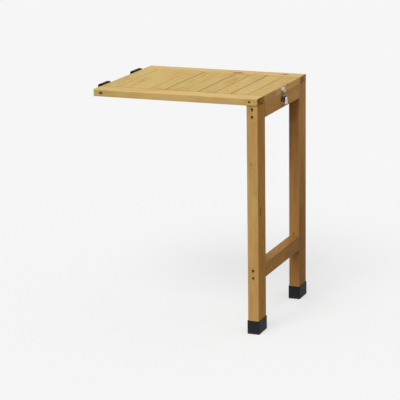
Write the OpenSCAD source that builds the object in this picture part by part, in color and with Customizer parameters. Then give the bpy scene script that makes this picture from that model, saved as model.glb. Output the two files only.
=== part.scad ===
// Slatted side table for a raised planter.
// One end hooks over the planter's rim, the other stands on a leg frame that
// folds under the top once its toggle latch is let go.
// The top runs along X, with the hooks at the low end and the leg frame at the high end.

/* [Table top] */
// Height of the top's upper face above the ground
table_h = 800; // [700:5:900]
// Length of the top, without hooks and latch
table_l = 588; // [540:2:640]
// Width of the top
table_w = 490; // [440:2:560]
// Thickness of the planks and end rails
top_t = 23; // [21:1:28]
// Width of the front and back planks
plank_w = 65; // [58:1:72]
// Thickness of the slats between the end rails
slat_t = 12; // [10:0.5:13]
// Open gap between neighbouring slats
slat_gap = 1.5; // [1:0.5:4]
// Gap between a slat's end and the plank beside it
slat_end_gap = 0.3; // [0.2:0.1:1]
// Width of the battens that carry the slats
batten_w = 30; // [24:1:36]
// Plan radius of the two corners at the hook end
corner_r = 8; // [4:1:20]
// Radius that eases the long edges of planks, rails and legs
edge_r = 1.5; // [0.5:0.5:2.5]
// Radius that eases the long edges of a slat
slat_edge_r = 0.8; // [0.4:0.2:1.6]

/* [Leg frame] */
// Thickness of a leg along the table
leg_t = 38; // [34:1:42]
// Width of a leg across the table
leg_w = 72; // [66:1:78]
// Height of the top rail
rail_h = 50; // [46:1:60]
// Height of the stretcher
stretcher_h = 50; // [46:1:60]
// Thickness of the stretcher
stretcher_t = 36; // [32:1:38]
// Height of the stretcher's underside above the ground
stretcher_z = 182; // [178:1:186]
// Height of a foot cap
cap_h = 46; // [36:1:56]
// Wall of a foot cap
cap_wall = 2.6; // [2:0.1:4]
// Thickness of a foot cap's sole
cap_sole = 4; // [3:0.5:8]
// Chamfer round the sole
cap_chamfer = 1.2; // [0.5:0.1:2]
// Space between a leg and its cap
cap_gap = 0.15; // [0.1:0.05:0.3]

/* [Rim hooks] */
// Width of a hook across the table
hook_w = 66; // [50:1:72]
// How far a hook stands out from the end of the top
hook_out = 18; // [16:1:26]
// Thickness of the hook's steel
hook_t = 3; // [2.5:0.5:4]
// How far a hook's arm stands above the top's upper face
hook_rise = 3; // [0:0.5:4]
// Height of the hook's outer lip, measured from the arm's upper face
hook_lip = 35; // [28:1:38]
// Height of the leaf that is screwed to the end rail
hook_leaf = 24; // [20:1:25]
// Outside radius of the hook's bends
hook_bend_r = 5; // [4.5:0.5:6]
// Radius of the lip's lower corners
hook_corner_r = 6; // [3:1:10]
// Distance between the middles of the two hooks
hook_span = 266; // [220:2:290]
// Distance between a hook's two screws
hook_screw_pitch = 34; // [28:1:36]

/* [Hinges] */
// Length of a hinge
hinge_l = 60; // [50:1:70]
// Width of a leaf from the pin's axis
hinge_leaf = 14; // [13:0.5:14]
// Thickness of a leaf
hinge_t = 1.5; // [1.2:0.1:1.8]
// Outside radius of a knuckle
knuckle_r = 3; // [2.8:0.1:3.4]
// Radius of a hinge pin
hinge_pin_r = 1.5; // [1.3:0.1:1.6]
// Distance between the middles of the two hinges
hinge_span = 220; // [180:2:240]
// Distance between the two screws of a leaf
hinge_screw_pitch = 36; // [30:1:38]

/* [Latch] */
// Width of the keeper and of the latch base
latch_w = 30; // [29:0.5:34]
// Thickness of the latch's sheet steel
latch_t = 1.5; // [1.3:0.1:1.6]
// Height of the keeper's plate
keeper_h = 17; // [15:0.5:17.5]
// Width of the keeper's hooked tongue
tongue_w = 18; // [10:0.5:18]
// Inside radius of the tongue's hook
tongue_r = 2.5; // [2.4:0.1:2.7]
// Straight height of the hook's lip above the middle of its bend
tongue_lip = 1.8; // [1.4:0.1:2]
// Height of the latch base's plate
base_h = 27; // [25:0.5:29]
// Distance of the lever's pin from the rail's outer face
lever_pin_out = 6; // [5.8:0.1:6.3]
// Radius of the lever's pin
lever_pin_r = 1.25; // [1:0.05:1.3]
// Distance from the lever's pin to the loop's pivot
lever_arm = 9; // [8.8:0.1:9.2]
// Length of the lever below its pin
lever_l = 20.5; // [19:0.5:22]
// Distance between the outer faces of the base's two ears
ear_span = 16; // [15:0.5:16]
// Depth of the lever's channel in front of its pin, outside
lever_front = 7.3; // [6.5:0.1:7.6]
// Width of the lever's finger tab
tab_w = 26; // [22:0.5:30]
// Distance from the lever's pin down to the shoulders of the tab
tab_drop = 10; // [9.5:0.5:12]
// Corner radius of the tab
tab_r = 3; // [1:0.5:4]
// How far the lever's finger tab flares out
lever_flare = 1.7; // [1:0.1:2.5]
// Radius of the loop's wire
wire_r = 1.25; // [1:0.05:1.3]
// Height of the loop's bar above the lever's pin
loop_rise = 21; // [20.5:0.5:21.5]

/* [Fasteners] */
// Diameter of the long frame screws
frame_screw_d = 5; // [4:0.5:6]
// Head diameter of the long frame screws
frame_head_d = 8; // [7:0.5:9]
// Length of a screw from a leg into a rail
leg_screw_l = 90; // [80:5:100]
// Depth to which a leg screw's head is sunk
leg_sink = 24; // [10:1:30]
// Distance between the two leg screws at one rail
leg_screw_pitch = 25; // [20:1:28]
// Length of a screw from a plank into an end rail
plank_screw_l = 70; // [65:5:80]
// Depth to which a plank screw's head is sunk
plank_sink = 18; // [10:1:24]
// Diameter of the slat and hook screws
board_screw_d = 3.5; // [3:0.5:4]
// Head diameter of the slat and hook screws
board_head_d = 6.6; // [6:0.2:7.4]
// Length of a slat screw
slat_screw_l = 18; // [14:1:19]
// Length of a screw from a batten into a plank
batten_screw_l = 45; // [40:1:50]
// Length of a hook screw
hook_screw_l = 22; // [16:1:24]
// Diameter of the hinge and latch screws
plate_screw_d = 3; // [2.5:0.1:3.2]
// Head diameter of the hinge and latch screws
plate_head_d = 5.2; // [4.8:0.1:5.4]
// Length of the hinge and latch screws
plate_screw_l = 14; // [10:1:16]

/* [Fits] */
// Radial clearance of pins and screws in their holes
pin_gap = 0.05; // [0.02:0.01:0.1]
// Clearance between parts that move past each other
run_gap = 0.3; // [0.2:0.05:0.3]

/* [Hidden] */
$fn = 48;

slat_count = 8;
cut = 1;

// Top: level of its underside, batten thickness, width of each cross board and its pitch
under_z = table_h - top_t;
batten_t = top_t - slat_t;
slat_w = (table_l - (slat_count + 1) * slat_gap) / (slat_count + 2);
slat_pitch = slat_w + slat_gap;
mid_z = table_h - top_t / 2;

// The latch's reach beyond the leg end, and the two ends of the top
latch_out = lever_pin_out + lever_front + lever_flare;
leg_end = (hook_out - latch_out) / 2 + table_l / 2;
hook_end = leg_end - table_l;
hook_top = table_h + hook_rise;
side_y = table_w / 2;
plank_in = side_y - plank_w;
leg_in = side_y - leg_w;
batten_in = plank_in - batten_w;
batten_mid = plank_in - batten_w / 2;

// Leg frame: inner face of the legs, and the middle heights of the two rails
leg_face = leg_end - leg_t;
leg_mid = leg_end - leg_t / 2;
rail_mid = under_z - rail_h / 2;
stretcher_mid = stretcher_z + stretcher_h / 2;

// Hinge axis, one running gap outside the knuckles' reach of both boards
hinge_x = leg_face - knuckle_r - run_gap;
hinge_z = under_z - knuckle_r - run_gap;
knuckle_count = 5;
knuckle_l = hinge_l / knuckle_count;
knuckle_room = knuckle_r + run_gap;
screw_shift = 0.5;
hinge_screw_at = (knuckle_room + hinge_leaf) / 2 + screw_shift;
pin_head_rim = 0.9;
pin_head_r = hinge_pin_r + pin_head_rim;
pin_head_h = 1;

// Keeper: middle of the tongue's hook, and the loop's bar lying in it
plate_r = 2;
keeper_foot = 2.5;
keeper_lift = 1;
keeper_screw_rise = 7.5;
tongue_x = leg_end + latch_t + tongue_r;
tongue_z = under_z + keeper_foot + latch_t + tongue_r;
bar_gap = 0.2;
bar_z = tongue_z - (tongue_r - wire_r - bar_gap);
keeper_z = under_z + keeper_foot + keeper_lift;
keeper_screw_z = tongue_z + keeper_screw_rise;

// Latch base and lever, set out from the bar, with the steel left round each hole
ear_wall = 1.75;
cheek_wall = 2.25;
eye_wall = 2;
base_rise = 7;
screw_land = 0.4;
lever_x = leg_end + lever_pin_out;
lever_z = bar_z - loop_rise;
loop_z = lever_z - lever_arm;
ear_r = lever_pin_r + ear_wall;
cheek_r = lever_pin_r + cheek_wall;
cheek_in = ear_span / 2 + run_gap;
cheek_out = cheek_in + latch_t;
wire_y = cheek_out + run_gap + wire_r;
base_top = lever_z + base_rise;
base_screw_y = latch_w / 2 - plate_head_d / 2 - screw_land;
base_screw_in = 3.6;

// Lever's channel: slope of its nose, height of its flare and depth of a cheek at its foot
nose = 1;
flare_h = 3.5;
cheek_foot = 2.4;

// Turns that point a screw, drawn with its tip up, along each axis
TO_PLUS_X = [0, 90, 0];
TO_MINUS_X = [0, -90, 0];
TO_PLUS_Y = [-90, 0, 0];
TO_MINUS_Y = [90, 0, 0];
TO_PLUS_Z = [0, 0, 0];

WOOD = [0.80, 0.64, 0.40];
WOOD_SHADE = [0.72, 0.55, 0.32];
BLACK = [0.12, 0.12, 0.13];
ZINC = [0.78, 0.77, 0.76];
BRASS_ZINC = [0.72, 0.66, 0.50];

// Rectangle centred on the origin with round corners
module rounded_rect(w, h, r) {
    square([w - 2 * r, h], center = true);
    square([w, h - 2 * r], center = true);
    for (sx = [-1, 1], sy = [-1, 1])
        translate([sx * (w / 2 - r), sy * (h / 2 - r)]) circle(r);
}

// Rectangle standing on the origin with round upper corners
module arched_rect(w, h, r) {
    square([w, h - r]);
    translate([r, 0]) square([w - 2 * r, h]);
    for (x = [r, w - r])
        translate([x, h - r]) circle(r);
}

// Board along X between two corners, its long edges eased
module board_x(low, high) {
    size = high - low;
    translate([low.x, low.y + size.y / 2, low.z + size.z / 2])
        rotate([90, 0, 90]) linear_extrude(size.x) rounded_rect(size.y, size.z, edge_r);
}

// Board along Y between two corners, its long edges eased
module board_y(low, high, r) {
    size = high - low;
    translate([low.x + size.x / 2, high.y, low.z + size.z / 2])
        rotate([90, 0, 0]) linear_extrude(size.y) rounded_rect(size.x, size.z, r);
}

// Board along Z between two corners, its long edges eased
module board_z(low, high) {
    size = high - low;
    translate([low.x + size.x / 2, low.y + size.y / 2, low.z])
        linear_extrude(size.z) rounded_rect(size.x, size.y, edge_r);
}

// Countersunk wood screw, its head at the origin and its tip up
module screw(d, head_d, l) {
    head_h = (head_d - d) / 2;
    tip_h = d;
    tip_r = d / 8;
    cylinder(h = head_h, r1 = head_d / 2, r2 = d / 2);
    cylinder(h = l - tip_h, r = d / 2);
    translate([0, 0, l - tip_h]) cylinder(h = tip_h, r1 = d / 2, r2 = tip_r);
}

// Hole that takes such a screw, with a bore for its head down to the face it was sunk from
module screw_hole(d, head_d, l, sink) {
    head_h = (head_d - d) / 2;
    translate([0, 0, -sink - cut]) cylinder(h = sink + cut, r = head_d / 2 + pin_gap);
    cylinder(h = head_h, r1 = head_d / 2 + pin_gap, r2 = d / 2 + pin_gap);
    translate([0, 0, -cut]) cylinder(h = l + cut + pin_gap, r = d / 2 + pin_gap);
}

// Places of the screws: each module puts its children at every screw of one kind
module at_plank_screws(side) {
    for (x = [hook_end + slat_w / 2, leg_end - slat_w / 2])
        translate([x, side * (side_y - plank_sink), mid_z])
            rotate(side < 0 ? TO_PLUS_Y : TO_MINUS_Y) children();
}

module at_leg_screws(side) {
    for (z = [rail_mid, stretcher_mid], dz = [-1, 1] * leg_screw_pitch / 2)
        translate([leg_mid, side * (side_y - leg_sink), z + dz])
            rotate(side < 0 ? TO_PLUS_Y : TO_MINUS_Y) children();
}

module at_slat_screws(side) {
    for (i = [1:slat_count])
        translate([hook_end + i * slat_pitch + slat_w / 2, side * batten_mid, under_z])
            rotate(TO_PLUS_Z) children();
}

module at_batten_screws(side) {
    for (i = [2, 5, 8])
        translate([hook_end + i * slat_pitch - slat_gap / 2, side * batten_in, under_z + batten_t / 2])
            rotate(side < 0 ? TO_MINUS_Y : TO_PLUS_Y) children();
}

module at_hook_screws(side) {
    for (dy = [-1, 1] * hook_screw_pitch / 2)
        translate([hook_end - hook_t, side * hook_span / 2 + dy, (hook_top - hook_leaf + table_h) / 2])
            rotate(TO_PLUS_X) children();
}

module at_hinges() {
    for (y = [-1, 1] * hinge_span / 2)
        translate([hinge_x, y, hinge_z]) children();
}

module at_hinge_top_screws() {
    at_hinges()
        for (y = [-1, 1] * hinge_screw_pitch / 2)
            translate([-hinge_screw_at, y, under_z - hinge_t - hinge_z]) rotate(TO_PLUS_Z) children();
}

module at_hinge_leg_screws() {
    at_hinges()
        for (y = [-1, 1] * hinge_screw_pitch / 2)
            translate([leg_face - hinge_t - hinge_x, y, -hinge_screw_at]) rotate(TO_PLUS_X) children();
}

module at_keeper_screws() {
    for (y = [-1, 1] * base_screw_y)
        translate([leg_end + latch_t, y, keeper_screw_z]) rotate(TO_MINUS_X) children();
}

module at_base_screws() {
    for (y = [-1, 1] * base_screw_y, z = [base_top - base_h + base_screw_in, base_top - base_screw_in])
        translate([leg_end + latch_t, y, z]) rotate(TO_MINUS_X) children();
}

module plank_hole() { screw_hole(frame_screw_d, frame_head_d, plank_screw_l, plank_sink); }
module leg_hole() { screw_hole(frame_screw_d, frame_head_d, leg_screw_l, leg_sink); }
module slat_hole() { screw_hole(board_screw_d, board_head_d, slat_screw_l, 0); }
module batten_hole() { screw_hole(board_screw_d, board_head_d, batten_screw_l, 0); }
module hook_hole() { screw_hole(board_screw_d, board_head_d, hook_screw_l, 0); }
module plate_hole() { screw_hole(plate_screw_d, plate_head_d, plate_screw_l, 0); }

// Long plank at one side, its outer corner at the hook end rounded in plan
module plank(side) {
    low_y = side < 0 ? -side_y : plank_in;
    color(WOOD) difference() {
        intersection() {
            board_x([hook_end, low_y, under_z], [leg_end, low_y + plank_w, table_h]);
            translate([0, 0, under_z - cut]) linear_extrude(top_t + 2 * cut) {
                translate([hook_end + corner_r, low_y]) square([table_l - corner_r, plank_w]);
                translate([hook_end, side < 0 ? low_y + corner_r : low_y])
                    square([corner_r + cut, plank_w - corner_r]);
                translate([hook_end + corner_r, side * (side_y - corner_r)]) circle(corner_r);
            }
        }
        at_plank_screws(side) plank_hole();
        at_batten_screws(side) batten_hole();
    }
}

// End rail across the table, between the planks
module end_rail(low_x) {
    difference() {
        board_y([low_x, -plank_in, under_z], [low_x + slat_w, plank_in, table_h], edge_r);
        for (side = [-1, 1]) at_plank_screws(side) plank_hole();
    }
}

module hook_end_rail() {
    color(WOOD) difference() {
        end_rail(hook_end);
        for (side = [-1, 1]) at_hook_screws(side) hook_hole();
    }
}

module leg_end_rail() {
    color(WOOD) difference() {
        end_rail(leg_end - slat_w);
        at_hinge_top_screws() plate_hole();
        at_keeper_screws() plate_hole();
    }
}

// Thin cross slat, counted from the hook end, lying on the battens
module slat(i) {
    low_x = hook_end + i * slat_pitch;
    reach = plank_in - slat_end_gap;
    color(WOOD) difference() {
        board_y([low_x, -reach, table_h - slat_t], [low_x + slat_w, reach, table_h], slat_edge_r);
        for (side = [-1, 1]) at_slat_screws(side) slat_hole();
    }
}

// Batten along a plank's inner edge, under the slats and level with the underside
module batten(side) {
    low_y = side < 0 ? -plank_in : batten_in;
    color(WOOD_SHADE) difference() {
        translate([hook_end + slat_w, low_y, under_z])
            cube([table_l - 2 * slat_w, batten_w, batten_t]);
        at_slat_screws(side) slat_hole();
        at_batten_screws(side) batten_hole();
    }
}

module leg(side) {
    low_y = side < 0 ? -side_y : leg_in;
    color(WOOD) difference() {
        board_z([leg_face, low_y, cap_sole], [leg_end, low_y + leg_w, under_z]);
        at_leg_screws(side) leg_hole();
    }
}

module top_rail() {
    color(WOOD) difference() {
        board_y([leg_face, -leg_in, under_z - rail_h], [leg_end, leg_in, under_z], edge_r);
        for (side = [-1, 1]) at_leg_screws(side) leg_hole();
        at_hinge_leg_screws() plate_hole();
        at_base_screws() plate_hole();
    }
}

module stretcher() {
    color(WOOD) difference() {
        board_y([leg_end - stretcher_t, -leg_in, stretcher_z],
            [leg_end, leg_in, stretcher_z + stretcher_h], edge_r);
        for (side = [-1, 1]) at_leg_screws(side) leg_hole();
    }
}

// Moulded cap over the foot of a leg, its sole chamfered all round
module foot_cap(side) {
    in_x = leg_t + 2 * cap_gap;
    in_y = leg_w + 2 * cap_gap;
    out_x = in_x + 2 * cap_wall;
    out_y = in_y + 2 * cap_wall;
    out_r = edge_r + cap_gap + cap_wall;
    color(BLACK) translate([leg_mid, side * (side_y - leg_w / 2), 0]) difference() {
        intersection() {
            linear_extrude(cap_h) rounded_rect(out_x, out_y, out_r);
            rotate([90, 0, 0]) translate([0, 0, -out_y]) linear_extrude(2 * out_y) sole_profile(out_x);
            rotate([90, 0, 90]) translate([0, 0, -out_x]) linear_extrude(2 * out_x) sole_profile(out_y);
        }
        translate([0, 0, cap_sole]) linear_extrude(cap_h) rounded_rect(in_x, in_y, edge_r + cap_gap);
    }
}

// Side outline of a cap, with the chamfer at its sole
module sole_profile(w) {
    polygon([[-w / 2 + cap_chamfer, 0], [w / 2 - cap_chamfer, 0], [w / 2, cap_chamfer],
        [w / 2, cap_h + cut], [-w / 2, cap_h + cut], [-w / 2, cap_chamfer]]);
}

// Steel strip bent over twice: leaf on the end rail, arm just above the top, lip outside
module hook(side) {
    color(BLACK) difference() {
        intersection() {
            translate([hook_end - hook_out, side * hook_span / 2 + hook_w / 2, hook_top - hook_lip])
                rotate([90, 0, 0]) linear_extrude(hook_w) hook_profile();
            translate([hook_end - hook_out - cut, side * hook_span / 2, hook_top - hook_lip])
                rotate([90, 0, 90]) linear_extrude(hook_out + 2 * cut) lip_outline();
        }
        at_hook_screws(side) hook_hole();
    }
}

module hook_profile() {
    difference() {
        arched_rect(hook_out, hook_lip, hook_bend_r);
        translate([hook_t, -cut])
            arched_rect(hook_out - 2 * hook_t, hook_lip - hook_t + cut, hook_bend_r - hook_t);
        translate([hook_out - hook_t - cut, -cut])
            square([hook_t + 2 * cut, hook_lip - hook_leaf + cut]);
    }
}

module lip_outline() {
    translate([-hook_w / 2, hook_corner_r]) square([hook_w, hook_lip]);
    translate([-hook_w / 2 + hook_corner_r, 0]) square([hook_w - 2 * hook_corner_r, hook_lip]);
    for (y = [-1, 1] * (hook_w / 2 - hook_corner_r))
        translate([y, hook_corner_r]) circle(hook_corner_r);
}

// One leaf of a butt hinge, lying along -X from its pin, with the knuckles given by number
module hinge_leaf_with(knuckles) {
    difference() {
        union() {
            translate([-hinge_leaf, -hinge_l / 2, knuckle_room - hinge_t])
                cube([hinge_leaf - knuckle_room, hinge_l, hinge_t]);
            for (k = knuckles) {
                start = -hinge_l / 2 + k * knuckle_l + (k > 0 ? run_gap / 2 : 0);
                stop = -hinge_l / 2 + (k + 1) * knuckle_l - (k < knuckle_count - 1 ? run_gap / 2 : 0);
                translate([0, stop, 0]) rotate([90, 0, 0]) linear_extrude(stop - start) {
                    circle(knuckle_r);
                    translate([-knuckle_room - cut, knuckle_room - hinge_t])
                        square([knuckle_room + cut, hinge_t]);
                }
            }
        }
        translate([0, hinge_l, 0]) rotate([90, 0, 0]) cylinder(h = 2 * hinge_l, r = hinge_pin_r + pin_gap);
    }
}

module hinge_top_leaves() {
    color(BRASS_ZINC) difference() {
        at_hinges() hinge_leaf_with([0, 2, 4]);
        at_hinge_top_screws() plate_hole();
    }
}

// The leg leaves have the same shape, mirrored to lie on the rail's inner face
module hinge_leg_leaves() {
    color(BRASS_ZINC) difference() {
        at_hinges() mirror([1, 0, -1]) hinge_leaf_with([1, 3]);
        at_hinge_leg_screws() plate_hole();
    }
}

module hinge_pins() {
    color(ZINC) at_hinges() {
        translate([0, hinge_l / 2, 0]) rotate([90, 0, 0]) cylinder(h = hinge_l, r = hinge_pin_r);
        for (s = [-1, 1])
            translate([0, s * (hinge_l / 2 + pin_gap + pin_head_h / 2), 0]) rotate([90, 0, 0])
                cylinder(h = pin_head_h + 2 * pin_gap, r = pin_head_r, center = true);
    }
}

// Keeper: plate on the end rail with a hooked tongue that opens upwards
module latch_keeper() {
    color(ZINC) difference() {
        union() {
            translate([leg_end, 0, keeper_z + keeper_h / 2])
                rotate([90, 0, 90]) linear_extrude(latch_t) rounded_rect(latch_w, keeper_h, plate_r);
            translate([tongue_x, tongue_w / 2, tongue_z])
                rotate([90, 0, 0]) linear_extrude(tongue_w) tongue_profile();
        }
        at_keeper_screws() plate_hole();
    }
}

module tongue_profile() {
    outer = tongue_r + latch_t;
    difference() {
        union() {
            circle(outer);
            translate([-outer, 0]) square([2 * outer, tongue_lip]);
        }
        circle(tongue_r);
        translate([-tongue_r, 0]) square([2 * tongue_r, outer + cut]);
        translate([-outer - cut, tongue_lip]) square([2 * outer + 2 * cut, outer + cut]);
    }
}

// Latch base: plate on the top rail with two ears for the lever's pin
module latch_base() {
    color(ZINC) difference() {
        union() {
            translate([leg_end, 0, base_top - base_h / 2])
                rotate([90, 0, 90]) linear_extrude(latch_t) rounded_rect(latch_w, base_h, plate_r);
            for (s = [-1, 1])
                translate([leg_end, s * (ear_span - latch_t) / 2 + latch_t / 2, lever_z])
                    rotate([90, 0, 0]) linear_extrude(latch_t) {
                        translate([0, -ear_r]) square([lever_pin_out, 2 * ear_r]);
                        translate([lever_pin_out, 0]) circle(ear_r);
                    }
        }
        translate([lever_x, latch_w, lever_z]) rotate([90, 0, 0])
            cylinder(h = 2 * latch_w, r = lever_pin_r + pin_gap);
        at_base_screws() plate_hole();
    }
}

module latch_pin() {
    color(ZINC) translate([lever_x, cheek_out, lever_z]) rotate([90, 0, 0])
        cylinder(h = 2 * cheek_out, r = lever_pin_r);
}

// Lever: channel of sheet steel with two cheeks, a front web and a wider, flared finger tab
module latch_lever() {
    color(ZINC) translate([lever_x, 0, lever_z]) difference() {
        union() {
            for (s = [-1, 1])
                translate([0, s * (cheek_in + latch_t / 2) + latch_t / 2, 0])
                    rotate([90, 0, 0]) linear_extrude(latch_t) cheek_outline();
            intersection() {
                translate([0, tab_w / 2, 0]) rotate([90, 0, 0]) linear_extrude(tab_w) web_outline();
                rotate([90, 0, 90]) linear_extrude(lever_front + lever_flare + cut) web_face();
            }
        }
        for (z = [0, -lever_arm])
            translate([0, latch_w, z]) rotate([90, 0, 0])
                cylinder(h = 2 * latch_w, r = (z == 0 ? lever_pin_r : wire_r) + pin_gap);
    }
}

// Side outline of a cheek, from the nose above the pin down to the foot
module cheek_outline() {
    back = wire_r + eye_wall;
    foot = lever_l - flare_h;
    circle(cheek_r);
    translate([0, -lever_arm]) circle(back);
    polygon([[0, cheek_r], [lever_front - latch_t, cheek_r - nose], [lever_front, 0],
        [lever_front, -foot], [lever_front - cheek_foot, -foot], [0, -lever_arm - back],
        [-back, -lever_arm], [-back, 0]]);
}

// Side outline of the sheet in front of the cheeks, flared at its foot
module web_outline() {
    foot = lever_l - flare_h;
    polygon([[lever_front - latch_t, cheek_r - nose], [lever_front, cheek_r - 2 * nose],
        [lever_front, -foot], [lever_front + lever_flare, -lever_l],
        [lever_front + lever_flare - latch_t, -lever_l], [lever_front - latch_t, -foot]]);
}

// Front outline of the same sheet: narrow between the loop's wires, wide at the tab
module web_face() {
    translate([-cheek_out, -tab_drop - tab_r]) square([2 * cheek_out, tab_drop + tab_r + cheek_r]);
    translate([0, -(tab_drop + lever_l) / 2]) rounded_rect(tab_w, lever_l - tab_drop, tab_r);
}

// Loop of round wire from the lever's cheeks to the bar in the keeper's hook
module latch_loop() {
    run = [tongue_x - lever_x, bar_z - loop_z];
    arm_l = norm(run);
    tilt = atan2(run.x, run.y);
    color(ZINC) translate([lever_x, 0, loop_z]) {
        for (s = [-1, 1]) {
            translate([0, s * wire_y, 0]) {
                sphere(wire_r);
                rotate([0, tilt, 0]) cylinder(h = arm_l, r = wire_r);
                rotate([s * 90, 0, 0]) cylinder(h = wire_y - cheek_in - pin_gap, r = wire_r);
            }
            translate([run.x, s * wire_y, run.y]) sphere(wire_r);
        }
        translate([run.x, wire_y, run.y]) rotate([90, 0, 0]) cylinder(h = 2 * wire_y, r = wire_r);
    }
}

module frame_screw(l) { screw(frame_screw_d, frame_head_d, l); }
module board_screw(l) { screw(board_screw_d, board_head_d, l); }
module plate_screw() { screw(plate_screw_d, plate_head_d, plate_screw_l); }

module plank_screws() {
    color(BRASS_ZINC) for (side = [-1, 1]) at_plank_screws(side) frame_screw(plank_screw_l);
}
module leg_screws() {
    color(BRASS_ZINC) for (side = [-1, 1]) at_leg_screws(side) frame_screw(leg_screw_l);
}
module slat_screws() {
    color(BRASS_ZINC) for (side = [-1, 1]) at_slat_screws(side) board_screw(slat_screw_l);
}
module batten_screws() {
    color(BRASS_ZINC) for (side = [-1, 1]) at_batten_screws(side) board_screw(batten_screw_l);
}
module hook_screws() {
    color(BLACK) for (side = [-1, 1]) at_hook_screws(side) board_screw(hook_screw_l);
}
module hinge_top_screws() { color(ZINC) at_hinge_top_screws() plate_screw(); }
module hinge_leg_screws() { color(ZINC) at_hinge_leg_screws() plate_screw(); }
module keeper_screws() { color(ZINC) at_keeper_screws() plate_screw(); }
module latch_base_screws() { color(ZINC) at_base_screws() plate_screw(); }

plank(-1);  // front_plank
plank(1);  // back_plank
hook_end_rail();
leg_end_rail();
slat(1);  // slat_1
slat(2);  // slat_2
slat(3);  // slat_3
slat(4);  // slat_4
slat(5);  // slat_5
slat(6);  // slat_6
slat(7);  // slat_7
slat(8);  // slat_8
batten(-1);  // front_batten
batten(1);  // back_batten
leg(-1);  // front_leg
leg(1);  // back_leg
top_rail();
stretcher();
foot_cap(-1);  // front_foot_cap
foot_cap(1);  // back_foot_cap
hook(-1);  // front_hook
hook(1);  // back_hook
hinge_top_leaves();
hinge_leg_leaves();
hinge_pins();
latch_keeper();
latch_base();
latch_pin();
latch_lever();
latch_loop();
plank_screws();
leg_screws();
slat_screws();
batten_screws();
hook_screws();
hinge_top_screws();
hinge_leg_screws();
keeper_screws();
latch_base_screws();
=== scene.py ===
import math

import bpy
import numpy as np
from mathutils import Matrix, Vector


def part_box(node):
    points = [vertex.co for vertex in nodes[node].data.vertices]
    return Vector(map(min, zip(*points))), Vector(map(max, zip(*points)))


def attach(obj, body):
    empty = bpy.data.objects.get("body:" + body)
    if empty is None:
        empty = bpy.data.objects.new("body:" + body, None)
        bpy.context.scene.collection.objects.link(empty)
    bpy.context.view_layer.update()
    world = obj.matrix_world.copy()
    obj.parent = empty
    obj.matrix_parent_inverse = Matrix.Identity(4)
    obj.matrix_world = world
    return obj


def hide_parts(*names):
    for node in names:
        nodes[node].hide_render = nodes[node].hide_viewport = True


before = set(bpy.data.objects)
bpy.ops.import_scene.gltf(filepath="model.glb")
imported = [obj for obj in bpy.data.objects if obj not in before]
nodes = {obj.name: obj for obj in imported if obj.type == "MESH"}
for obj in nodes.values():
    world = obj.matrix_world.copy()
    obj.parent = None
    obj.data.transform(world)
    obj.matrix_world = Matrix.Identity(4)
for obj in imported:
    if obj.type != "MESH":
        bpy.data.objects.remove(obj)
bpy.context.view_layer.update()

# Camera: a long lens a little above and to the right of the table, looking down its length
# from the front. Its place, turn, pitch and roll were fitted to the edges of the photograph.
camera_place = Vector((2.1955, -5.3906, 1.8575))
camera_turn = math.radians(22.252)
camera_pitch = math.radians(14.226)
camera_roll = math.radians(-0.865)
camera_lens = 155.36
camera_sensor = 36
camera_reach = 200

camera_data = bpy.data.cameras.new("camera")
camera_data.lens = camera_lens
camera_data.sensor_width = camera_sensor
camera_data.clip_end = camera_reach
camera = bpy.data.objects.new("camera", camera_data)
bpy.context.scene.collection.objects.link(camera)
camera.matrix_world = (
    Matrix.Translation(camera_place)
    @ Matrix.Rotation(camera_turn, 4, "Z")
    @ Matrix.Rotation(math.pi / 2 - camera_pitch, 4, "X")
    @ Matrix.Rotation(camera_roll, 4, "Z")
)
bpy.context.scene.camera = camera
bpy.context.scene.view_settings.view_transform = "Standard"


# Studio: an even sky, one broad lamp high in front of the table, and a pale floor that keeps a
# light shadow of it. The eye and mirrors see the sky as pale as the floor, so no horizon shows.
def feed(tree, socket, value):
    """Links an output to a socket, or sets the socket to a plain value."""
    if isinstance(value, bpy.types.NodeSocket):
        tree.links.new(value, socket)
    else:
        socket.default_value = value


def add_node(tree, kind, settings=None, **inputs):
    """Adds a shader node. An input named n0, n1 ... goes by its number, any other by its name."""
    made = tree.nodes.new(kind)
    for name, value in (settings or {}).items():
        setattr(made, name, value)
    for name, value in inputs.items():
        numbered = name[0] == "n" and name[1:].isdigit()
        feed(tree, made.inputs[int(name[1:]) if numbered else name.replace("_", " ")], value)
    return made


def calc(tree, operation, *values):
    """One Math node on numbers or sockets; gives its output."""
    inputs = {f"n{i}": v for i, v in enumerate(values)}
    return add_node(tree, "ShaderNodeMath", {"operation": operation}, **inputs).outputs[0]


def ramp(tree, value, low, high):
    """Smooth step of a value from 0 at low to 1 at high."""
    return add_node(
        tree, "ShaderNodeMapRange", {"interpolation_type": "SMOOTHSTEP"},
        Value=value, From_Min=low, From_Max=high,
    ).outputs[0]


def blend_colours(tree, share, first, second):
    """Mixes two colours by a share from 0 to 1."""
    made = add_node(tree, "ShaderNodeMix", {"data_type": "RGBA"}, n0=share, n6=first, n7=second)
    return made.outputs[2]


def seen_rays(tree):
    """1 for the rays of the camera, of mirrors and of glass, and 0 for those that carry light."""
    ray = add_node(tree, "ShaderNodeLightPath").outputs
    mirrored = calc(tree, "MAXIMUM", ray["Is Glossy Ray"], ray["Is Transmission Ray"])
    return calc(tree, "MAXIMUM", ray["Is Camera Ray"], mirrored)


sky_level = 0.56
sky_seen = 0.925
lamp_from = Vector((-0.04, -0.55, 0.68))
lamp_power = 2.12
lamp_softness = math.radians(38)
floor_reach = 60
floor_bounce = (0.17, 0.145, 0.12, 1)
floor_seen = (0.87, 0.87, 0.87, 1)
floor_glow = 0.905
floor_glow_share = 0.62

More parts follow.
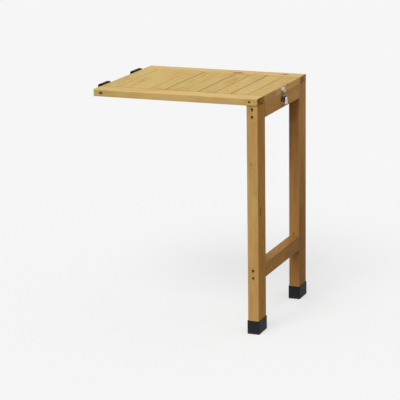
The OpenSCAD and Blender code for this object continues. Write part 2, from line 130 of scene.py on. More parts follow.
world = bpy.data.worlds.new("studio_sky")
bpy.context.scene.world = world
world.use_nodes = True
sky = world.node_tree
sky.nodes.clear()
strength = calc(sky, "MULTIPLY_ADD", seen_rays(sky), sky_seen - sky_level, sky_level)
background = add_node(sky, "ShaderNodeBackground", Color=(1, 1, 1, 1), Strength=strength)
add_node(sky, "ShaderNodeOutputWorld", Surface=background.outputs[0])

lamp_data = bpy.data.lights.new("broad_lamp", "SUN")
lamp_data.energy = lamp_power
lamp_data.angle = lamp_softness
lamp = bpy.data.objects.new("broad_lamp", lamp_data)
lamp.rotation_mode = "QUATERNION"
lamp.rotation_quaternion = lamp_from.to_track_quat("Z", "Y")
bpy.context.scene.collection.objects.link(lamp)

floor_mesh = bpy.data.meshes.new("floor")
floor_corners = np.array([[-1, -1, 0], [1, -1, 0], [1, 1, 0], [-1, 1, 0]]) * floor_reach
floor_mesh.from_pydata(floor_corners.tolist(), [], [[0, 1, 2, 3]])
floor = bpy.data.objects.new("floor", floor_mesh)
bpy.context.scene.collection.objects.link(floor)
paint = bpy.data.materials.new("pale_floor")
paint.use_nodes = True
tree = paint.node_tree
tree.nodes.clear()
seen = seen_rays(tree)
shade = blend_colours(tree, seen, floor_bounce, floor_seen)
matt = add_node(tree, "ShaderNodeBsdfDiffuse", Color=shade)
glow = add_node(tree, "ShaderNodeEmission", Color=(1, 1, 1, 1), Strength=floor_glow)
glow_share = calc(tree, "MULTIPLY", seen, floor_glow_share)
lit = add_node(tree, "ShaderNodeMixShader", n0=glow_share, n1=matt.outputs[0], n2=glow.outputs[0])
add_node(tree, "ShaderNodeOutputMaterial", Surface=lit.outputs[0])
floor_mesh.materials.append(paint)


# Boards: planed softwood in a honey-coloured stain. Every board is cut from its own place in a
# log, so rings, fibres and tone differ from board to board. Its sawn ends show the rings and
# took up more stain, and its edges were eased with sandpaper.
def open_group(name, inputs, outputs):
    """A shader node group with sockets given as name: kind, and its input and output nodes."""
    tree = bpy.data.node_groups.new(name, "ShaderNodeTree")
    for side, sockets in (("INPUT", inputs), ("OUTPUT", outputs)):
        for socket, kind in sockets.items():
            tree.interface.new_socket(name=socket, in_out=side, socket_type=f"NodeSocket{kind}")
    return tree, tree.nodes.new("NodeGroupInput").outputs, tree.nodes.new("NodeGroupOutput").inputs


def place_group(tree, group, **inputs):
    """Puts a group into a material with its own values; gives its outputs."""
    made = tree.nodes.new("ShaderNodeGroup")
    made.node_tree = group
    for name, value in inputs.items():
        feed(tree, made.inputs[name.replace("_", " ")], value)
    return made.outputs


def open_material(name):
    """An empty material with its tree and Object coordinates."""
    material = bpy.data.materials.new(name)
    material.use_nodes = True
    material.node_tree.nodes.clear()
    where = add_node(material.node_tree, "ShaderNodeTexCoord").outputs["Object"]
    return material, material.node_tree, where


def close_material(tree, colour, rough, relief, strength, depth, **surface):
    """Ends a material with a bump from the relief, depth metres deep, and its shader."""
    bump = add_node(tree, "ShaderNodeBump", Strength=strength, Distance=depth, Height=relief)
    shader = add_node(
        tree, "ShaderNodeBsdfPrincipled",
        Base_Color=colour, Roughness=rough, Normal=bump.outputs[0], **surface)
    add_node(tree, "ShaderNodeOutputMaterial", Surface=shader.outputs[0])


def wear(node, material):
    """Gives a CAD node its material."""
    nodes[node].data.materials.clear()
    nodes[node].data.materials.append(material)


def vector_calc(tree, operation, first, second=(0, 0, 0)):
    """One Vector Math node; gives its vector, or its value for a length or a dot product."""
    made = add_node(tree, "ShaderNodeVectorMath", {"operation": operation}, n0=first, n1=second)
    return made.outputs["Value" if operation in ("LENGTH", "DOT_PRODUCT") else "Vector"]


def stretched_noise(tree, vector, scale, detail=2.0, rough=0.5):
    """Noise whose cells are 1/scale metres long on each axis; gives its value."""
    at = vector_calc(tree, "MULTIPLY", vector, scale)
    made = add_node(
        tree, "ShaderNodeTexNoise", Vector=at, Scale=1.0, Detail=detail, Roughness=rough)
    return made.outputs["Fac"]


def even(scale):
    """The same scale on all three axes."""
    return scale, scale, scale


def build_grain():
    """Growth rings are frac(distance from the log's heart / ring width), pale in spring wood and
    dark just before each jump; fine fibres, dark flecks and slow patches run along the board."""
    sway_depth, waver_depth = 0.030, 0.0022
    late_power, jump = 2.2, 0.90
    ring_tone, palest = 0.46, 0.02
    ring_relief, fibre_relief = 0.35, 0.65
    fleck_band, warm_band = (0.66, 0.76), (0.38, 0.68)
    tree, given, result = open_group(
        "softwood_grain",
        {"Vector": "Vector", "Ring Width": "Float", "Pull": "Float"},
        {"Tone": "Float", "Fleck": "Float", "Warmth": "Float", "Height": "Float"},
    )
    v = given["Vector"]
    across = vector_calc(tree, "LENGTH", vector_calc(tree, "MULTIPLY", v, (0, 1, 1)))
    sway = stretched_noise(tree, v, (1.7, 7.0, 7.0), 3.0)
    waver = stretched_noise(tree, v, (9.0, 60.0, 60.0), 2.0)
    swayed = calc(tree, "MULTIPLY_ADD", sway, sway_depth, across)
    wavered = calc(tree, "MULTIPLY_ADD", waver, waver_depth, swayed)
    pulled = calc(tree, "ADD", wavered, given["Pull"])
    rings = calc(tree, "FRACT", calc(tree, "DIVIDE", pulled, given["Ring Width"]))
    late = calc(tree, "POWER", rings, late_power)
    band = calc(tree, "MULTIPLY", late, ramp(tree, rings, 1.0, jump))
    fibre = stretched_noise(tree, v, (14.0, 900.0, 900.0), 4.0, 0.65)
    streak = stretched_noise(tree, v, (3.0, 160.0, 160.0), 3.0, 0.6)
    mottle = stretched_noise(tree, v, (16.0, 55.0, 55.0), 2.0)
    patch = stretched_noise(tree, v, (2.5, 11.0, 11.0), 2.0)
    tone = calc(tree, "MULTIPLY_ADD", band, ring_tone, palest)
    # Each noise with its usual middle and how far it moves the tone
    noises = (fibre, 0.5, 0.50), (streak, 0.5, 0.85), (mottle, 0.5, 0.95), (patch, 0.4, 1.15)
    for noise, middle, amount in noises:
        apart = calc(tree, "SUBTRACT", noise, middle)
        tone = calc(tree, "MULTIPLY_ADD", apart, amount, tone)
    dashes = stretched_noise(tree, v, (45.0, 1500.0, 1500.0), 1.0)
    drift = stretched_noise(tree, v, (5.0, 16.0, 16.0), 2.0)
    fibres = calc(tree, "MULTIPLY", fibre, fibre_relief)
    feed(tree, result["Tone"], add_node(tree, "ShaderNodeClamp", Value=tone).outputs[0])
    feed(tree, result["Fleck"], ramp(tree, dashes, *fleck_band))
    feed(tree, result["Warmth"], ramp(tree, drift, *warm_band))
    feed(tree, result["Height"], calc(tree, "MULTIPLY_ADD", band, ring_relief, fibres))
    return tree


def build_faces():
    """Works from the distances between a point and its board's box, on each axis to the nearer
    face. The middle one of the three is small only at an eased edge. The one along the grain
    marks the sawn end and how far the stain soaked in beside it, and those along X mark the
    flanks and the two joints."""
    rub_width, rub_waver, rub_full = 0.0032, 0.0016, 0.2
    end_skin, soak_depth = 0.0006, 0.0035
    flank_starts, flank_full = 0.0016, 0.0004
    joint_reach = 0.0024
    tree, given, result = open_group(
        "board_faces",
        {"Vector": "Vector", "Low": "Vector", "High": "Vector", "Along": "Vector"},
        {"Edge": "Float", "End": "Float", "Soaked": "Float", "Flank": "Float",
         "Low Joint": "Float", "High Joint": "Float"},
    )
    from_low = vector_calc(tree, "SUBTRACT", given["Vector"], given["Low"])
    from_high = vector_calc(tree, "SUBTRACT", given["High"], given["Vector"])
    near = vector_calc(tree, "MINIMUM", from_low, from_high)
    x, y, z = add_node(tree, "ShaderNodeSeparateXYZ", Vector=near).outputs
    least = calc(tree, "MINIMUM", calc(tree, "MINIMUM", x, y), z)
    most = calc(tree, "MAXIMUM", calc(tree, "MAXIMUM", x, y), z)
    total = calc(tree, "ADD", calc(tree, "ADD", x, y), z)
    middle = calc(tree, "SUBTRACT", calc(tree, "SUBTRACT", total, least), most)
    waver = stretched_noise(tree, given["Vector"], even(90.0))
    ragged = calc(tree, "MULTIPLY_ADD", waver, rub_waver, middle)
    feed(tree, result["Edge"], ramp(tree, ragged, rub_width, rub_full * rub_width))
    to_end = vector_calc(tree, "DOT_PRODUCT", near, given["Along"])
    feed(tree, result["End"], ramp(tree, to_end, 2 * end_skin, end_skin))
    feed(tree, result["Soaked"], ramp(tree, to_end, soak_depth, 0.0))
    feed(tree, result["Flank"], ramp(tree, x, flank_starts, flank_full))
    for name, inward in (("Low Joint", from_low), ("High Joint", from_high)):
        inward_x = add_node(tree, "ShaderNodeSeparateXYZ", Vector=inward).outputs[0]
        feed(tree, result[name], ramp(tree, inward_x, joint_reach, 0.0))
    return tree


def build_knot():
    """A knot is an ellipsoid lying along the grain: its core is dark, and the rings around it are
    pushed aside by a bell curve of the distance from its middle. The same dark ellipsoid also lays
    spots of painted shade and painted shadow."""
    core_rim, rough_share = (1.35, 0.95), 0.5
    bell_fall, push_reach = -0.22, 1.6
    tree, given, result = open_group(
        "knot",
        {"Vector": "Vector", "Middle": "Vector", "Stretch": "Vector",
         "Radius": "Float", "Strength": "Float"},
        {"Core": "Float", "Push": "Float"},
    )
    apart = vector_calc(tree, "SUBTRACT", given["Vector"], given["Middle"])
    shaped = vector_calc(tree, "MULTIPLY", apart, given["Stretch"])
    far = vector_calc(tree, "LENGTH", shaped)
    share = calc(tree, "DIVIDE", far, given["Radius"])
    rough = stretched_noise(tree, given["Vector"], even(260.0), 2.0)
    roughened = calc(tree, "MULTIPLY_ADD", rough, rough_share, share)
    core = ramp(tree, roughened, *core_rim)
    squared = calc(tree, "POWER", share, 2.0)
    bell = calc(tree, "EXPONENT", calc(tree, "MULTIPLY", squared, bell_fall))
    reach = calc(tree, "MULTIPLY", given["Radius"], push_reach)
    feed(tree, result["Core"], calc(tree, "MULTIPLY", core, given["Strength"]))
    feed(tree, result["Push"], calc(tree, "MULTIPLY", bell, reach))
    return tree


def build_stain():
    """The stain goes from pale to deep by the tone and drifts between a greener and a warmer
    hue. Its flanks take painted shade where their tint is below 1 and painted light where it is
    above, it is sanded paler at the edges, and flecks of resin stay dark."""
    greener, warmer = (0.985, 1.005, 0.95, 1), (1.02, 0.94, 0.87, 1)
    fleck_brown, fleck_share = (0.20, 0.10, 0.035, 1), 0.34
    sanded_gain, sanded_share = 1.12, 0.30
    tree, given, result = open_group(
        "honey_stain",
        {"Tone": "Float", "Warmth": "Float", "Fleck": "Float", "Edge": "Float",
         "Flank": "Float", "Flank Tint": "Color", "Pale": "Color", "Deep": "Color"},
        {"Colour": "Color"},
    )
    colour = blend_colours(tree, given["Tone"], given["Pale"], given["Deep"])
    hue = blend_colours(tree, given["Warmth"], greener, warmer)
    colour = vector_calc(tree, "MULTIPLY", colour, hue)
    flecks = calc(tree, "MULTIPLY", given["Fleck"], fleck_share)
    colour = blend_colours(tree, flecks, colour, fleck_brown)
    painted_flank_shading = blend_colours(tree, given["Flank"], (1, 1, 1, 1), given["Flank Tint"])
    colour = vector_calc(tree, "MULTIPLY", colour, painted_flank_shading)
    sanded = vector_calc(tree, "MULTIPLY", given["Pale"], even(sanded_gain))
    rubbed = calc(tree, "MULTIPLY", given["Edge"], sanded_share)
    feed(tree, result["Colour"], blend_colours(tree, rubbed, colour, sanded))
    return tree


def build_end_grain():
    """A sawn end shows the grain's tone with more contrast, and soft spots where the open pores
    drank more stain."""
    contrast, lift, spotting = 1.9, -0.62, 1.1
    tree, given, result = open_group(
        "end_grain",
        {"Vector": "Vector", "Tone": "Float", "Pale": "Color", "Deep": "Color"},
        {"Colour": "Color"},
    )
    tone = calc(tree, "MULTIPLY_ADD", given["Tone"], contrast, lift)
    spots = stretched_noise(tree, given["Vector"], even(95.0), 1.0)
    tone = calc(tree, "MULTIPLY_ADD", spots, spotting, tone)
    feed(tree, result["Colour"], blend_colours(tree, tone, given["Pale"], given["Deep"]))
    return tree


grain_group = build_grain()
faces_group = build_faces()
knot_and_shade_group = build_knot()
stain_group = build_stain()
end_group = build_end_grain()

# Turns that lay a board's grain along X, its width along Y and its thickness along Z
board_lay = {
    "X": Matrix.Identity(3),
    "Y": Matrix.Rotation(-math.pi / 2, 3, "Z"),
    "Z": Matrix.Rotation(math.pi / 2, 3, "Y"),
}
log_picks = np.random.default_rng(41)
side_spread, usual_depth = 0.020, 0.055
knot_length = 0.62
# Brown of knot cores, also used for the spots of painted shade
knot_and_shade_brown = (0.20, 0.075, 0.012, 1)
end_pale = (0.40, 0.215, 0.052)
end_deep = (0.125, 0.050, 0.009)
soaked_tone = 0.30
foot_shade_starts, foot_shade_full = 0.74, 0.05
joint_dark_brown = (0.085, 0.040, 0.010, 1)
painted_joint_light = (0.80, 0.60, 0.25, 1)
wood_rough, deep_rough, sawn_rough = 0.52, 0.14, 0.22
wood_gloss = 0.05


def stain_board(node, along, stain, knots_and_shade_spots=(), ring_width=0.0042, heart=None, tone_shift=0.0,
                flank_shading=(1, 1, 1), foot_shade=0.0, joints=(0, 0), end_tint=(1, 1, 1)):
    """Gives a board its own place in a log, its tone, its knots, its spots of painted shade and its
    ends. Each knot and spot is a place, a radius, a strength and sometimes a stretch of its own.
    heart is how far sideways and in depth the board lies from the log's heart. The flank tint is
    painted shade below 1 and painted light above 1 on the two faces across X, and the foot share
    adds painted shade at their low end. joints darkens the low and high X edges by its amount, or
    below zero paints light over the shade in their gaps."""
    pale, deep = stain
    low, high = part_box(node)
    side = float(log_picks.uniform(-side_spread, side_spread))
    depth = usual_depth * float(log_picks.uniform(0.8, 1.3)) * float(log_picks.choice([-1, 1]))
    start = float(log_picks.uniform(1, 9))
    if heart is not None:
        side, depth = heart
    log_place = Vector((start, side, depth)) - board_lay[along] @ ((low + high) / 2)
    material, tree, where = open_material(f"stained_{node}")
    turned = add_node(
        tree, "ShaderNodeMapping",
        Vector=where, Location=log_place, Rotation=board_lay[along].to_euler()).outputs[0]

    usual_shape = [knot_length if letter == along else 1.0 for letter in "XYZ"]
    pull, core = 0.0, 0.0
    for place, radius, strength, *shape in knots_and_shade_spots:
        found = place_group(
            tree, knot_and_shade_group, Vector=where, Middle=place, Radius=radius, Strength=strength,
            Stretch=shape[0] if shape else usual_shape)
        pull = calc(tree, "ADD", pull, found["Push"])
        core = calc(tree, "MAXIMUM", core, found["Core"])
    grain = place_group(tree, grain_group, Vector=turned, Ring_Width=ring_width, Pull=pull)
    faces = place_group(
        tree, faces_group, Vector=where, Low=low, High=high,
        Along=[float(letter == along) for letter in "XYZ"])

    tone = calc(tree, "ADD", grain["Tone"], tone_shift)
    tone = calc(tree, "MULTIPLY_ADD", faces["Soaked"], soaked_tone, tone)
    # Painted shade: the faces across X deepen towards the foot by the foot share
    if foot_shade:
        height = add_node(tree, "ShaderNodeSeparateXYZ", Vector=where).outputs[2]
        lower = calc(tree, "MULTIPLY", faces["Flank"], foot_shade)
        tone = calc(tree, "MULTIPLY_ADD", ramp(tree, height, foot_shade_starts, foot_shade_full), lower, tone)
    stained = place_group(
        tree, stain_group, Tone=tone, Warmth=grain["Warmth"], Fleck=grain["Fleck"],
        Edge=faces["Edge"], Flank=faces["Flank"], Flank_Tint=(*flank_shading, 1),
        Pale=(*pale, 1), Deep=(*deep, 1))
    sawn_pale, sawn_deep = np.array([end_pale, end_deep]) * end_tint
    sawn = place_group(
        tree, end_group, Vector=where, Tone=grain["Tone"],
        Pale=(*sawn_pale, 1), Deep=(*sawn_deep, 1))
    colour = blend_colours(tree, faces["End"], stained["Colour"], sawn["Colour"])
    # Some joints are darkened brown, others take painted light over the shade in their gaps
    for joint, joint_amount in zip(("Low Joint", "High Joint"), joints):
        share = calc(tree, "MULTIPLY", faces[joint], abs(joint_amount))
        colour = blend_colours(tree, share, colour, joint_dark_brown if joint_amount > 0 else painted_joint_light)
    colour = blend_colours(tree, core, colour, knot_and_shade_brown)
    rough = calc(tree, "MULTIPLY_ADD", grain["Tone"], deep_rough, wood_rough)
    rough = calc(tree, "MULTIPLY_ADD", faces["End"], sawn_rough, rough)
    close_material(
        tree, colour, rough, grain["Height"], strength=0.35, depth=0.00035,
        Specular_IOR_Level=wood_gloss)
    wear(node, material)


# Front and back planks, each ripped from one length and rounded at the hook end. A screw sits
# deep in a bored hole near each end, its rim and walls darkened brown. The back plank has a
# knot near the leg end and a brown patch further in.
plank_stain = (0.655, 0.463, 0.184), (0.465, 0.300, 0.104)
front_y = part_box("front_plank")[0].y
back_low, back_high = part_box("back_plank")
leg_end = back_high.x
rail_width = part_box("hook_end_rail")[1].x - back_low.x
bore_rim = 0.0046
bore_darkening, light_bore_darkening = 0.8, 0.35
bore_z = (back_low.z + back_high.z) / 2
hook_bore_x = back_low.x + rail_width / 2
leg_bore_x = leg_end - rail_width / 2
stain_board(
    "front_plank", "X", plank_stain, ring_width=0.0100, heart=(-0.015, -0.007),
    end_tint=(1.25, 1.18, 0.95),
    knots_and_shade_spots=[
        ((hook_bore_x, front_y, bore_z), bore_rim, bore_darkening),
        ((leg_bore_x, front_y, bore_z), bore_rim, light_bore_darkening),
    ],
)
stain_board(
    "back_plank", "X", plank_stain, ring_width=0.0062, heart=(0.010, 0.058),
    end_tint=(1.8, 2.0, 3.7),
    # The knot, the patch with a pin knot beside it, and the rims of the bores
    knots_and_shade_spots=[
        ((leg_end - 0.067, back_high.y - 0.028, back_high.z), 0.0080, 1.0),
        ((leg_end - 0.233, back_high.y - 0.050, back_high.z), 0.0125, 0.75, (0.55, 1, 1)),
        ((leg_end - 0.268, back_high.y - 0.040, back_high.z), 0.0045, 0.50),
        ((hook_bore_x, back_high.y, bore_z), bore_rim, bore_darkening),
        ((leg_bore_x, back_high.y, bore_z), bore_rim, bore_darkening),
    ],
)

# End rails and eight slats of planed softwood, butted side by side between the planks. Each is
# from another batch, so their tones step lightly. Some of the joints are darkened brown, and
# others take painted light over the shade in their gaps.
slat_stain = (0.58, 0.409, 0.148), (0.41, 0.268, 0.080)
slat_tones = [-0.20, -0.24, -0.04, 0.06, 0.10, 0.02, 0.04, 0.0]
joint_darkening_and_light = [0.09, -0.90, -0.30, 0.49, -0.50, 0.55, 0.20, 0.66, 0.04]
# Faint marks on the faces of three slats, as X, Y, radius and strength
slat_marks = {
    3: [(-0.005, 0.025, 0.0040, 0.30)],
    5: [(0.000, -0.170, 0.0050, 0.30)],
    6: [(0.085, -0.145, 0.0060, 0.35), (0.080, -0.070, 0.0045, 0.25)],
}
rail_tone = 0.02
rail_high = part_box("leg_end_rail")[1]
stain_board("hook_end_rail", "Y", slat_stain, tone_shift=rail_tone, joints=(0, joint_darkening_and_light[0]))
# The flank tint gives painted light to the leg end rail's faces across X
stain_board(
    "leg_end_rail", "Y", slat_stain, tone_shift=rail_tone, flank_shading=(1.44, 1.28, 1.40),
    joints=(joint_darkening_and_light[-1], 0),
    # Painted shadow of the keeper beside the latch and painted shade near the front plank
    knots_and_shade_spots=[
        ((rail_high.x, 0.052, rail_high.z - 0.004), 0.0040, 0.8, (1, 1, 0.5)),
        ((rail_high.x, -0.165, rail_high.z - 0.018), 0.060, 0.36, (9, 0.5, 1)),
    ],
)
for number, shift in enumerate(slat_tones, 1):
    slat_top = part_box(f"slat_{number}")[1].z
    marks = [((x, y, slat_top), size, deep) for x, y, size, deep in slat_marks.get(number, [])]
    stain_board(
        f"slat_{number}", "Y", slat_stain, tone_shift=shift, knots_and_shade_spots=marks,
        joints=(joint_darkening_and_light[number - 1], joint_darkening_and_light[number]),
    )

# Battens: two plain strips of the same softwood under the slats, out of sight, that carry them.
# Each is screwed to the inner side of its plank.
batten_stain = (0.50, 0.32, 0.10), (0.35, 0.205, 0.055)
for batten in ("front_batten", "back_batten"):
    stain_board(batten, "X", batten_stain)

# Legs: squared timber, warmer in tone than the top. Each has four screws that sit deep in bored
# holes, two for the rail above and two for the stretcher below. The back leg's faces across X
# get painted shade towards its foot, and both have small knots and marks.
front_leg_stain = (0.598, 0.392, 0.146), (0.400, 0.233, 0.070)
back_leg_stain = (0.540, 0.290, 0.100), (0.2905, 0.135, 0.036)
leg_low, leg_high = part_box("front_leg")
far_low, far_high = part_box("back_leg")
leg_middle = (leg_low.x + leg_high.x) / 2
bore_pitch = 0.025
bore_heights = [
    (low.z + high.z) / 2 + half * bore_pitch
    for low, high in (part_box("top_rail"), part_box("stretcher")) for half in (-0.5, 0.5)
]
# The flank tint gives painted shade to the front leg's faces across X
stain_board(
    "front_leg", "Z", front_leg_stain, flank_shading=(0.92, 0.74, 0.48),
    # Painted shade in a line under the plank, two faint marks, a long knot, and the rims of the
    # bores
    knots_and_shade_spots=[
        ((leg_middle, leg_low.y, leg_high.z), 0.0024, 0.60, (0.06, 1, 1)),
        ((leg_low.x + 0.016, leg_low.y, 0.582), 0.0055, 0.18),
        ((leg_low.x + 0.022, leg_low.y, 0.566), 0.0040, 0.15),
        ((leg_high.x, leg_low.y + 0.024, 0.419), 0.0062, 0.85, (1, 1, 0.36)),
        *[((leg_middle, leg_low.y, z), bore_rim, bore_darkening) for z in bore_heights],
    ],
)
# The flank tint gives painted light to the back leg's faces across X, and the foot share painted
# shade
stain_board(
    "back_leg", "Z", back_leg_stain, flank_shading=(1.11, 1.12, 1.07), foot_shade=1.0,
    # A knot above the stretcher, painted shade under the top rail and a faint stain lower down
    knots_and_shade_spots=[
        ((far_low.x + 0.017, far_low.y, 0.239), 0.0036, 0.9),
        ((far_low.x + 0.014, far_low.y, 0.700), 0.0280, 0.36, (1, 1, 0.42)),
        ((far_low.x + 0.019, far_low.y, 0.270), 0.0450, 0.10, (1, 1, 0.40)),
        *[((leg_middle, far_high.y, z), bore_rim, bore_darkening) for z in bore_heights],
    ],
)

# Top rail and stretcher: two flat boards butted between the legs, the stretcher stained darker
# and partly darkened as painted shade from the top above it. Both take painted light on their
# faces across X. Two long screws through each leg hold each end.
rail_stain = (0.565, 0.340, 0.105), (0.375, 0.195, 0.048)
stretcher_stain = (0.40, 0.225, 0.062), (0.28, 0.140, 0.034)
stretcher_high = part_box("stretcher")[1]
stain_board("top_rail", "Y", rail_stain, flank_shading=(1.22, 1.13, 1.16))
stain_board(
    "stretcher", "Y", stretcher_stain, flank_shading=(1.15, 1.06, 1.0),
    # A wide, faint stain near the back leg
    knots_and_shade_spots=[((stretcher_high.x, 0.11, stretcher_high.z - 0.015), 0.050, 0.34, (4, 0.5, 1))],
)

# Foot caps: moulded black rubber with a fine matt skin from the mould, pushed over the ends of
# the legs. A little dust clings near the sole.
cap_black = (0.020, 0.020, 0.023, 1)
cap_dust = (0.058, 0.053, 0.048, 1)
cap_rough, cap_rough_spread = 0.52, 0.2
dust_height = 0.016
rubber, tree, where = open_material("cap_rubber")
mould_skin = stretched_noise(tree, where, even(1400.0), 2.0)
blotch = stretched_noise(tree, where, even(70.0), 3.0)
height = add_node(tree, "ShaderNodeSeparateXYZ", Vector=where).outputs[2]
dusty = calc(tree, "MULTIPLY", ramp(tree, height, dust_height, 0.0), blotch)
colour = blend_colours(tree, dusty, cap_black, cap_dust)
rough = calc(tree, "MULTIPLY_ADD", blotch, cap_rough_spread, cap_rough)
close_material(
    tree, colour, rough, mould_skin, strength=0.25, depth=0.0002, Specular_IOR_Level=0.13)
for cap in ("front_foot_cap", "back_foot_cap"):
    wear(cap, rubber)

# Rim hooks: flat steel bent over twice, with a leaf on the end rail and a lip that hangs over
# the planter's rim, in black powder coat with its fine orange-peel skin. Two screws hold each.
coat_black = (0.005, 0.0045, 0.004, 1)
coat_scuffed = (0.013, 0.012, 0.010, 1)
coat_rough, coat_rough_spread = 0.42, 0.25
coat, tree, where = open_material("black_powder_coat")
peel = stretched_noise(tree, where, even(900.0), 2.0)
scuff = stretched_noise(tree, where, (60.0, 220.0, 220.0), 4.0)
colour = blend_colours(tree, scuff, coat_black, coat_scuffed)
rough = calc(tree, "MULTIPLY_ADD", scuff, coat_rough_spread, coat_rough)
close_material(
    tree, colour, rough, peel, strength=0.3, depth=0.0002, Specular_IOR_Level=0.04)
for hook in ("front_hook", "back_hook"):
    wear(hook, coat)


# Toggle latch: pressed and zinc plated steel, its keeper screwed to the end rail and its base to
# the top rail below. The base, the loop and the lever's cheeks are dark with painted shade, and
# the keeper and the lever's web are bright.
def build_plating():
    """Plating is clouded by soft noise and keeps the fine lines of the brush, a noise with the
    brush's scale on each axis."""
    cloud_band = 0.26, 0.74
    tree, given, result = open_group(
        "clouded_plating",
        {"Vector": "Vector", "Brush": "Vector"},
        {"Cloud": "Float", "Lines": "Float"},
    )
    clouds = stretched_noise(tree, given["Vector"], even(230.0), 3.0)
    feed(tree, result["Cloud"], ramp(tree, clouds, *cloud_band))
    feed(tree, result["Lines"], stretched_noise(tree, given["Vector"], given["Brush"], 2.0))
    return tree


plating_group = build_plating()
brush_rough = 0.16
cheek_painted_shade = (0.070, 0.050, 0.040, 1)
cheek_shade_fade = 0.0004


def plate_metal(name, bright, dull, roughness, brush, behind=None):
    """Plated steel between two tones, with painted shade where X is below the plane called
    behind."""
    material, tree, where = open_material(name)
    plating = place_group(tree, plating_group, Vector=where, Brush=brush)
    colour = blend_colours(tree, plating["Cloud"], (*bright, 1), (*dull, 1))
    # Painted shade on the lever's cheeks, behind its web
    if behind is not None:
        along = add_node(tree, "ShaderNodeSeparateXYZ", Vector=where).outputs[0]
        cheek_shaded = ramp(tree, along, behind + cheek_shade_fade, behind - cheek_shade_fade)
        colour = blend_colours(tree, cheek_shaded, colour, cheek_painted_shade)
    rough = calc(tree, "MULTIPLY_ADD", plating["Lines"], brush_rough, roughness)
    close_material(
        tree, colour, rough, plating["Lines"], strength=0.12, depth=0.0001, Metallic=1.0)
    return material


level_lines = (400.0, 400.0, 5000.0)
tab_flare, web_steel = 0.0017, 0.0015
lever_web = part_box("latch_lever")[1].x - tab_flare - web_steel
keeper_zinc = plate_metal(
    "keeper_zinc", (0.72, 0.61, 0.56), (0.42, 0.34, 0.30), 0.24, level_lines)
lever_zinc = plate_metal(
    "lever_zinc", (0.76, 0.66, 0.57), (0.50, 0.42, 0.35), 0.24, level_lines, lever_web)
# The base and the loop are dark with painted shade
base_zinc = plate_metal(
    "base_zinc", (0.16, 0.125, 0.11), (0.085, 0.065, 0.055), 0.34, level_lines)
loop_zinc = plate_metal(
    "loop_zinc", (0.30, 0.26, 0.24), (0.14, 0.11, 0.10), 0.26, level_lines)
wear("latch_keeper", keeper_zinc)
wear("latch_lever", lever_zinc)
wear("latch_base", base_zinc)
wear("latch_pin", base_zinc)
wear("latch_loop", loop_zinc)

# Butt hinges: two under the top, each of two pressed leaves whose knuckles turn on a steel pin,
# in yellow zinc brushed across the pin. They are screwed to the end rail and the top rail.
cross_lines = (400.0, 5000.0, 400.0)
golden_zinc = plate_metal(
    "golden_zinc", (0.66, 0.58, 0.38), (0.50, 0.42, 0.26), 0.30, cross_lines)
for part in ("hinge_top_leaves", "hinge_leg_leaves", "hinge_pins"):
    wear(part, golden_zinc)


# Frame screws: long countersunk ones of tarnished zinc, with a cross recess punched in the head.
# They are driven to the bottom of the bored holes, four through the planks and eight through
# the legs.
def screw_skin(head_r, shank_r, length):
    """One screw with its head's face at z = 0 and its point up. The face is a square grid bent to
    a disc, x = u sqrt(1 - v v / 2), and sinks where either of two crossed arms lies; its rim goes
    on down the cone, the shank and the point as circles. The grid's lines lie at shares of the
    head's radius, so that some of them follow the arms' edges."""
    arm_half, arm_wall = 0.15, 0.05
    arm_reach, arm_slope = 0.60, 0.35
    recess_share = 0.62
    half = np.array([0.10, arm_half, 0.25, arm_reach, 0.72, 0.86, 1.0])
    lines = np.concatenate([-half[::-1], [0.0], half])
    u, v = np.meshgrid(lines, lines, indexing="ij")

    def arm(across, along):
        wall = np.clip((arm_half - np.abs(across)) / arm_wall, 0, 1)
        return wall * np.clip((arm_reach - np.abs(along)) / arm_slope, 0, 1)

    sunk = recess_share * shank_r * np.maximum(arm(u, v), arm(v, u))
    face = np.stack([
        head_r * u * np.sqrt(1 - v * v / 2), head_r * v * np.sqrt(1 - u * u / 2), sunk], axis=-1)
    number = np.arange(lines.size ** 2).reshape(u.shape)
    face_quads = np.stack([
        number[:-1, :-1], number[:-1, 1:], number[1:, 1:], number[1:, :-1]], axis=-1)
    rim = np.concatenate([number[:, 0], number[-1, 1:], number[-2::-1, -1], number[0, -2:0:-1]])
    points = face.reshape(-1, 3)
    turn = np.arctan2(points[rim, 1], points[rim, 0])
    taper = head_r - shank_r
    stations = [(shank_r, taper), (shank_r, length - 2 * shank_r), (shank_r / 4, length)]
    circles = np.array([
        np.stack([r * np.cos(turn), r * np.sin(turn), np.full(turn.size, z)], axis=-1)
        for r, z in stations])
    loops = np.vstack([rim, lines.size ** 2 + np.arange(3 * turn.size).reshape(3, -1)])
    after = np.roll(loops, -1, axis=1)
    side_quads = np.stack([loops[:-1], after[:-1], after[1:], loops[1:]], axis=-1)
    quads = np.vstack([face_quads.reshape(-1, 4), side_quads.reshape(-1, 4)])
    return np.vstack([points, circles.reshape(-1, 3)]), quads, loops[-1]


screw_turns = np.random.default_rng(7)


def drive_screws(node, body, finish, sizes, places):
    """Sets one screw at each place, its point along the given way and its cross turned at random,
    and lets them stand for the CAD node. sizes are the head's and shank's radius and the length."""
    points, quads, end = screw_skin(*sizes)
    all_points, all_faces = [], []
    for count, (place, way) in enumerate(places):
        spin = Matrix.Rotation(float(screw_turns.uniform(0, math.pi / 2)), 3, "Z")
        turn = Vector(way).to_track_quat("Z", "Y").to_matrix() @ spin
        all_points.append(points @ np.array(turn).T + np.array(place))
        start = count * len(points)
        all_faces += (quads + start).tolist() + [(end + start).tolist()]
    mesh = bpy.data.meshes.new(f"driven_{node}")
    mesh.from_pydata(np.vstack(all_points).tolist(), [], all_faces)
    mesh.materials.append(finish)
    piece = bpy.data.objects.new(f"driven_{node}", mesh)
    bpy.context.scene.collection.objects.link(piece)
    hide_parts(node)
    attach(piece, body)


def from_both_sides(low_y, high_y):
    """The two Y places of facing screws, each with the way its point goes."""
    return (low_y, (0, 1, 0)), (high_y, (0, -1, 0))


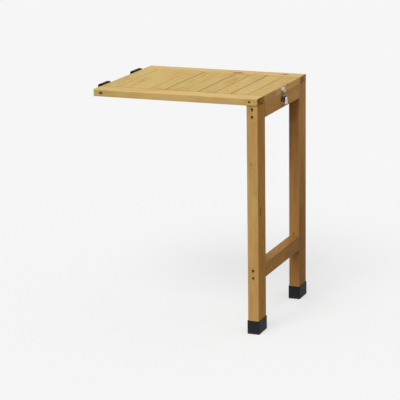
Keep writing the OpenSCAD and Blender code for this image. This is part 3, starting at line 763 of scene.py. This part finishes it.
frame_head, frame_shank = 0.0040, 0.0025
plank_screw, leg_screw = 0.070, 0.090
sunk_zinc = plate_metal(
    "sunk_zinc", (0.30, 0.17, 0.05), (0.16, 0.085, 0.025), 0.50, level_lines)
low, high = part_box("plank_screws")
drive_screws(
    "plank_screws", "table_top", sunk_zinc, (frame_head, frame_shank, plank_screw),
    [((x, y, (low.z + high.z) / 2), way)
     for x in (low.x + frame_head, high.x - frame_head)
     for y, way in from_both_sides(low.y, high.y)],
)
low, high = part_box("leg_screws")
drive_screws(
    "leg_screws", "leg_frame", sunk_zinc, (frame_head, frame_shank, leg_screw),
    [((leg_middle, y, z), way)
     for z in bore_heights for y, way in from_both_sides(low.y, high.y)],
)

# Slat and batten screws: yellow zinc wood screws, driven from below through the battens into
# the slats and sideways through the battens into the planks.
board_head, board_shank = 0.0033, 0.00175
low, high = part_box("slat_screws")
slat_boxes = [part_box(f"slat_{number}") for number in range(1, 9)]
slat_middles = [(slat_low.x + slat_high.x) / 2 for slat_low, slat_high in slat_boxes]
drive_screws(
    "slat_screws", "table_top", golden_zinc,
    (board_head, board_shank, high.z - low.z),
    [((x, y, low.z), (0, 0, 1))
     for x in slat_middles for y in (low.y + board_head, high.y - board_head)],
)
low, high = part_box("batten_screws")
batten_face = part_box("back_batten")[0].y
drive_screws(
    "batten_screws", "table_top", golden_zinc,
    (board_head, board_shank, high.y - batten_face),
    [((x, side * batten_face, (low.z + high.z) / 2), (0, side, 0))
     for x in (low.x + board_head, (low.x + high.x) / 2, high.x - board_head)
     for side in (-1, 1)],
)


# Hook screws: black ones of the same size, driven level through the leaf of each hook into the
# end rail, two to a hook.
def paired(low_y, high_y, pitch):
    """Y of two pairs of screws whose outer ones lie at low_y and high_y."""
    return low_y, low_y + pitch, high_y - pitch, high_y


hook_pitch = 0.034
low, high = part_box("hook_screws")
drive_screws(
    "hook_screws", "table_top", coat, (board_head, board_shank, high.x - low.x),
    [((low.x, y, (low.z + high.z) / 2), (1, 0, 0))
     for y in paired(low.y + board_head, high.y - board_head, hook_pitch)],
)

# Hinge screws: small yellow zinc ones, two through each leaf, up into the end rail and sideways
# into the top rail.
plate_head, plate_shank, plate_screw = 0.0026, 0.0015, 0.014
hinge_pitch = 0.036
low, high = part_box("hinge_top_screws")
drive_screws(
    "hinge_top_screws", "table_top", golden_zinc,
    (plate_head, plate_shank, plate_screw),
    [(((low.x + high.x) / 2, y, low.z), (0, 0, 1))
     for y in paired(low.y + plate_head, high.y - plate_head, hinge_pitch)],
)
low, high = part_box("hinge_leg_screws")
drive_screws(
    "hinge_leg_screws", "leg_frame", golden_zinc,
    (plate_head, plate_shank, plate_screw),
    [((low.x, y, (low.z + high.z) / 2), (1, 0, 0))
     for y in paired(low.y + plate_head, high.y - plate_head, hinge_pitch)],
)

# Latch screws: small bright zinc ones driven straight in from the end face, two through the
# keeper and four through the corners of the base.
bright_zinc = plate_metal(
    "bright_zinc", (0.80, 0.78, 0.77), (0.58, 0.55, 0.55), 0.22, level_lines)
low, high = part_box("keeper_screws")
drive_screws(
    "keeper_screws", "table_top", bright_zinc,
    (plate_head, plate_shank, plate_screw),
    [((high.x, y, (low.z + high.z) / 2), (-1, 0, 0))
     for y in (low.y + plate_head, high.y - plate_head)],
)
low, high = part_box("latch_base_screws")
drive_screws(
    "latch_base_screws", "leg_frame", bright_zinc,
    (plate_head, plate_shank, plate_screw),
    [((high.x, y, z), (-1, 0, 0))
     for y in (low.y + plate_head, high.y - plate_head)
     for z in (low.z + plate_head, high.z - plate_head)],
)
